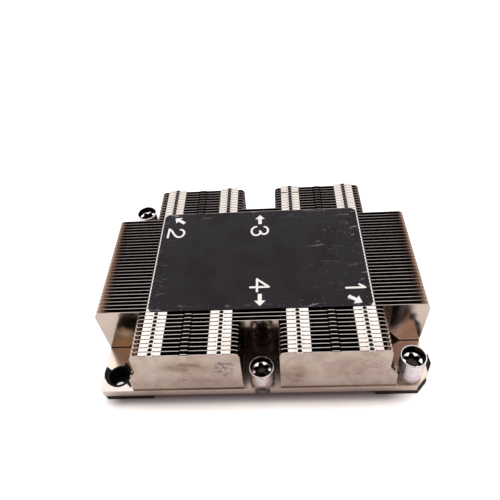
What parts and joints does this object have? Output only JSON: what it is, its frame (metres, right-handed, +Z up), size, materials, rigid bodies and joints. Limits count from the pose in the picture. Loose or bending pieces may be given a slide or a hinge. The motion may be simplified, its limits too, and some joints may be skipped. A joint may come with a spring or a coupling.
{
  "type": "passive processor heatsink",
  "caption": "Low passive server heatsink: plated base, stack of folded interlocking fins with wings, black label, carrier clip and captive screws in ferrules.",
  "frame": {"origin": "middle of the plane that the heatsink stands on", "axes": "+X along the long side, -Y the front, +Z up, away from the processor"},
  "size_m": [0.1128, 0.0802, 0.0257],
  "materials": {
    "plated_base": "smooth nickel plating",
    "fin_metal": "satin nickel plating",
    "label_film": "satin film, lightly scuffed",
    "clip_plastic": "moulded",
    "screw_metal": "bright nickel plating",
    "ferrule_metal": "turned, nickel plated",
    "ring_metal": "spring steel"
  },
  "bodies": {
    "heatsink": {"base_plate": "plated_base", "carrier_clip": "clip_plastic", "corner_ferrules": "ferrule_metal", "fin_pack_back_left": "fin_metal", "fin_pack_back_right": "fin_metal", "fin_pack_front_left": "fin_metal", "fin_pack_front_right": "fin_metal", "label": "label_film", "middle_ferrules": "ferrule_metal", "waist_fin_back_1": "fin_metal", "waist_fin_back_2": "fin_metal", "waist_fin_back_3": "fin_metal", "waist_fin_front_1": "fin_metal", "waist_fin_front_2": "fin_metal", "waist_fin_front_3": "fin_metal", "wide_fin_01": "fin_metal", "wide_fin_02": "fin_metal", "wide_fin_03": "fin_metal", "wide_fin_04": "fin_metal", "wide_fin_05": "fin_metal", "wide_fin_06": "fin_metal", "wide_fin_07": "fin_metal", "wide_fin_08": "fin_metal", "wide_fin_09": "fin_metal", "wide_fin_10": "fin_metal", "wide_fin_11": "fin_metal", "wide_fin_12": "fin_metal", "wide_fin_13": "fin_metal", "wide_fin_14": "fin_metal", "wide_fin_15": "fin_metal", "wide_fin_16": "fin_metal", "wide_fin_17": "fin_metal", "wide_fin_18": "fin_metal", "wide_fin_19": "fin_metal", "wide_fin_20": "fin_metal", "wide_fin_21": "fin_metal", "wide_fin_22": "fin_metal", "wide_fin_23": "fin_metal", "wide_fin_24": "fin_metal", "wide_fin_25": "fin_metal", "wide_fin_26": "fin_metal", "wide_fin_27": "fin_metal", "wide_fin_28": "fin_metal", "wide_fin_29": "fin_metal", "wide_fin_30": "fin_metal"},
    "ring_float_1": {"snap_ring_1": "ring_metal"},
    "screw_turn_1": {"captive_screw_1": "screw_metal"},
    "ring_float_2": {"snap_ring_2": "ring_metal"},
    "screw_turn_2": {"captive_screw_2": "screw_metal"},
    "ring_float_3": {"snap_ring_3": "ring_metal"},
    "screw_turn_3": {"captive_screw_3": "screw_metal"},
    "ring_float_4": {"snap_ring_4": "ring_metal"},
    "screw_turn_4": {"captive_screw_4": "screw_metal"}
  },
  "joints": [
    {"name": "screw_float_1", "type": "slide", "parent": "heatsink", "child": "ring_float_1", "axis": [0, 0, 1], "range_m": [0, 0.00145]},
    {"name": "screw_spin_1", "type": "hinge", "parent": "ring_float_1", "child": "screw_turn_1", "pos_m": [0.048, -0.035, 0], "axis": [0, 0, 1], "continuous": true},
    {"name": "screw_float_2", "type": "slide", "parent": "heatsink", "child": "ring_float_2", "axis": [0, 0, 1], "range_m": [-0.00135, 0.0001]},
    {"name": "screw_spin_2", "type": "hinge", "parent": "ring_float_2", "child": "screw_turn_2", "pos_m": [-0.048, 0.035, 0], "axis": [0, 0, 1], "continuous": true},
    {"name": "screw_float_3", "type": "slide", "parent": "heatsink", "child": "ring_float_3", "axis": [0, 0, 1], "range_m": [0, 0.00145]},
    {"name": "screw_spin_3", "type": "hinge", "parent": "ring_float_3", "child": "screw_turn_3", "pos_m": [0, 0.0354, 0], "axis": [0, 0, 1], "continuous": true},
    {"name": "screw_float_4", "type": "slide", "parent": "heatsink", "child": "ring_float_4", "axis": [0, 0, 1], "range_m": [0, 0.00145]},
    {"name": "screw_spin_4", "type": "hinge", "parent": "ring_float_4", "child": "screw_turn_4", "pos_m": [0, -0.0354, 0], "axis": [0, 0, 1], "continuous": true}
  ]
}
